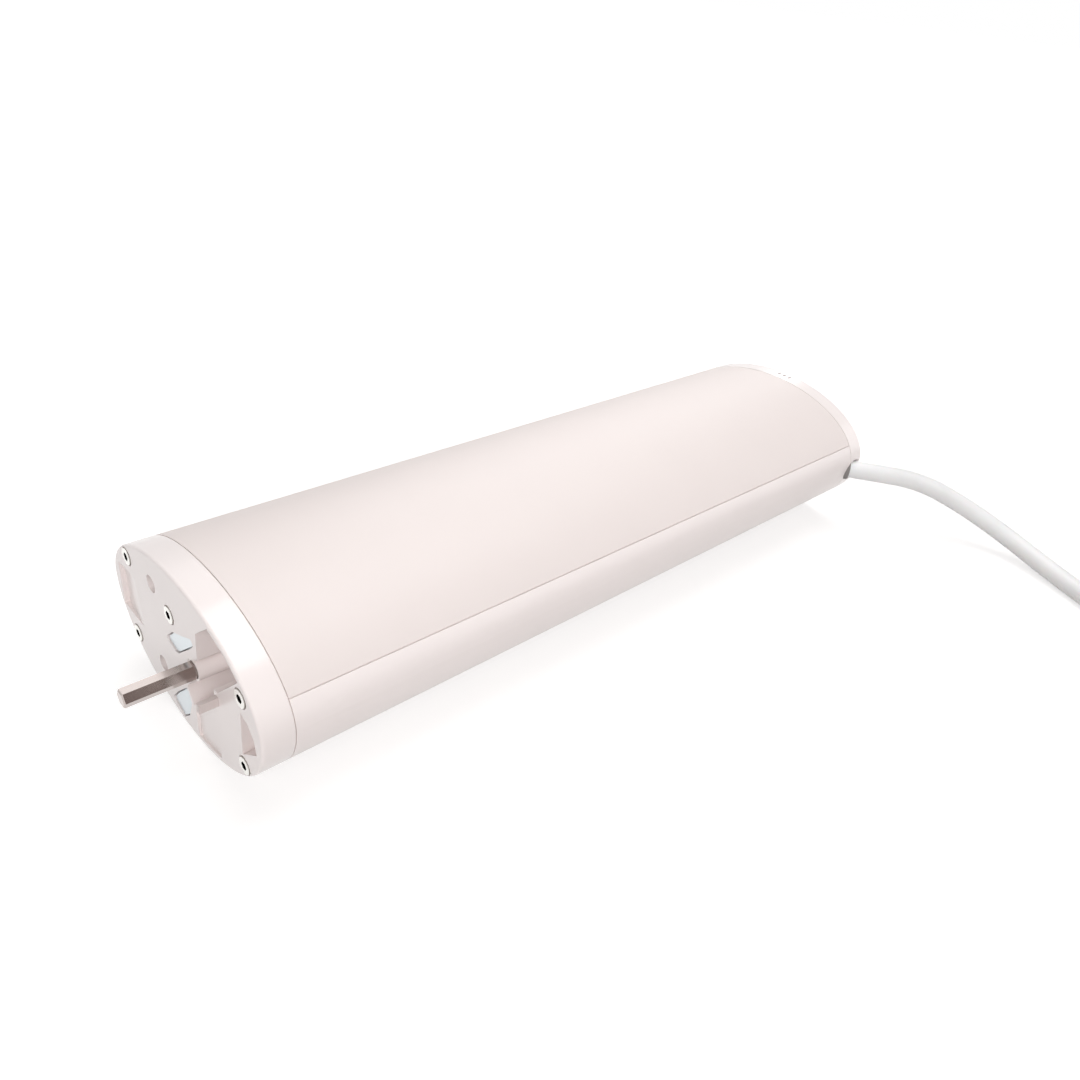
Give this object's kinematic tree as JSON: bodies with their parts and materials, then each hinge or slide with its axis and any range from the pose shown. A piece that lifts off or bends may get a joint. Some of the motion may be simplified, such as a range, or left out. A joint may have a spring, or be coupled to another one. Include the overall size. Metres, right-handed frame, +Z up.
{
  "type": "curtain motor",
  "caption": "Oval tubular curtain motor with a hexagon drive shaft and sprung peg at one end and a mains lead at the other.",
  "frame": {"origin": "middle of the motor's footprint on the surface that it lies on, lead and plug not counted", "axes": "+X from the drive shaft to the tail cap along the motor, +Z up through the front cover"},
  "size_m": [0.4428, 0.3337, 0.0577],
  "materials": {
    "cover_plastic": "satin white",
    "shell_plastic": "glossy white",
    "cap_plastic": "satin white",
    "screw_steel": "bright zinc",
    "plate_steel": "plated",
    "bright_steel": "polished",
    "bush_bronze": "sintered",
    "gear_housing": "cast",
    "gear_plastic": "natural",
    "magnet": "sintered",
    "copper": "enamelled",
    "carbon": "pressed",
    "black_plastic": "moulded",
    "board": "solder mask",
    "damper_rubber": "moulded",
    "clear_plastic": "clear",
    "cord_jacket": "smooth white",
    "brass_pins": "bright"
  },
  "bodies": {
    "housing": {"board_screws": "screw_steel", "board_spacers": "black_plastic", "brushes": "carbon", "bulk_capacitor": "black_plastic", "button_switch": "black_plastic", "cable_clamp": "black_plastic", "cable_coil": "cord_jacket", "cable_grommet": "damper_rubber", "cable_tie": "black_plastic", "catch_plate": "plate_steel", "clamp_screws": "screw_steel", "control_board": "board", "detent_spring": "bright_steel", "drive_cap_screws": "screw_steel", "drive_end_cap": "cap_plastic", "front_damper": "damper_rubber", "gear_unit_screws": "screw_steel", "gearbox_front_plate": "gear_housing", "hall_board": "board", "light_pipe": "clear_plastic", "lower_shell": "shell_plastic", "motor_bushes": "bush_bronze", "motor_can": "plate_steel", "motor_end_bell": "black_plastic", "motor_magnets": "magnet", "motor_mount_plate": "plate_steel", "output_bush": "bush_bronze", "plug_body": "cord_jacket", "plug_pins": "brass_pins", "power_board": "board", "power_cable": "cord_jacket", "radio_module": "plate_steel", "rear_damper": "damper_rubber", "ring_gear": "gear_housing", "shaft_bush": "cap_plastic", "sounder": "black_plastic", "tail_cap": "cap_plastic", "tail_cap_screws": "screw_steel", "transformer": "magnet", "upper_cover": "cover_plastic"},
    "output": {"output_shaft": "bright_steel", "output_carrier": "bright_steel", "output_planet_pins": "bright_steel"},
    "output_planet_1": {"output_planet_1": "gear_plastic"},
    "output_planet_2": {"output_planet_2": "gear_plastic"},
    "output_planet_3": {"output_planet_3": "gear_plastic"},
    "intermediate": {"intermediate_carrier": "bright_steel", "output_sun": "bright_steel", "intermediate_planet_pins": "bright_steel"},
    "input_planet_1": {"input_planet_1": "gear_plastic"},
    "input_planet_2": {"input_planet_2": "gear_plastic"},
    "input_planet_3": {"input_planet_3": "gear_plastic"},
    "rotor": {"motor_shaft": "bright_steel", "rotor_core": "magnet", "rotor_windings": "copper", "commutator": "copper", "input_sun": "bush_bronze", "encoder_magnet": "magnet"},
    "peg": {"detent_peg": "cap_plastic"},
    "button": {"setting_button": "shell_plastic"}
  },
  "joints": [
    {"name": "rotor_spin", "type": "hinge", "parent": "housing", "child": "rotor", "pos_m": [-0.07505, -0.0075, 0.0295], "axis": [1, 0, 0], "continuous": true},
    {"name": "output_spin", "type": "hinge", "parent": "housing", "child": "output", "pos_m": [-0.13505, -0.0075, 0.0295], "axis": [1, 0, 0], "continuous": true},
    {"name": "intermediate_spin", "type": "hinge", "parent": "housing", "child": "intermediate", "pos_m": [-0.10475, -0.0075, 0.0295], "axis": [1, 0, 0], "continuous": true},
    {"name": "output_planet_1_spin", "type": "hinge", "parent": "output", "child": "output_planet_1", "pos_m": [-0.11045, 0.0033, 0.0295], "axis": [1, 0, 0], "continuous": true},
    {"name": "input_planet_1_spin", "type": "hinge", "parent": "intermediate", "child": "input_planet_1", "pos_m": [-0.09875, 0.0033, 0.0295], "axis": [1, 0, 0], "continuous": true},
    {"name": "output_planet_2_spin", "type": "hinge", "parent": "output", "child": "output_planet_2", "pos_m": [-0.11045, -0.0129, 0.03885], "axis": [1, 0, 0], "continuous": true},
    {"name": "input_planet_2_spin", "type": "hinge", "parent": "intermediate", "child": "input_planet_2", "pos_m": [-0.09875, -0.0129, 0.03885], "axis": [1, 0, 0], "continuous": true},
    {"name": "output_planet_3_spin", "type": "hinge", "parent": "output", "child": "output_planet_3", "pos_m": [-0.11045, -0.0129, 0.02015], "axis": [1, 0, 0], "continuous": true},
    {"name": "input_planet_3_spin", "type": "hinge", "parent": "intermediate", "child": "input_planet_3", "pos_m": [-0.09875, -0.0129, 0.02015], "axis": [1, 0, 0], "continuous": true},
    {"name": "peg_slide", "type": "slide", "parent": "housing", "child": "peg", "axis": [1, 0, 0], "range_m": [0, 0.003], "stiffness_N_per_m": 150, "deforming": ["detent_spring"]},
    {"name": "button_press", "type": "slide", "parent": "housing", "child": "button", "axis": [-1, 0, 0], "range_m": [0, 0.0008], "stiffness_N_per_m": 1500}
  ],
  "couplings": [
    {"joint": "output_spin", "follows": "rotor_spin", "ratio": 0.049383},
    {"joint": "intermediate_spin", "follows": "rotor_spin", "ratio": 0.22222},
    {"joint": "output_planet_1_spin", "follows": "rotor_spin", "ratio": -0.13827},
    {"joint": "input_planet_1_spin", "follows": "rotor_spin", "ratio": -0.62222},
    {"joint": "output_planet_2_spin", "follows": "rotor_spin", "ratio": -0.13827},
    {"joint": "input_planet_2_spin", "follows": "rotor_spin", "ratio": -0.62222},
    {"joint": "output_planet_3_spin", "follows": "rotor_spin", "ratio": -0.13827},
    {"joint": "input_planet_3_spin", "follows": "rotor_spin", "ratio": -0.62222}
  ]
}
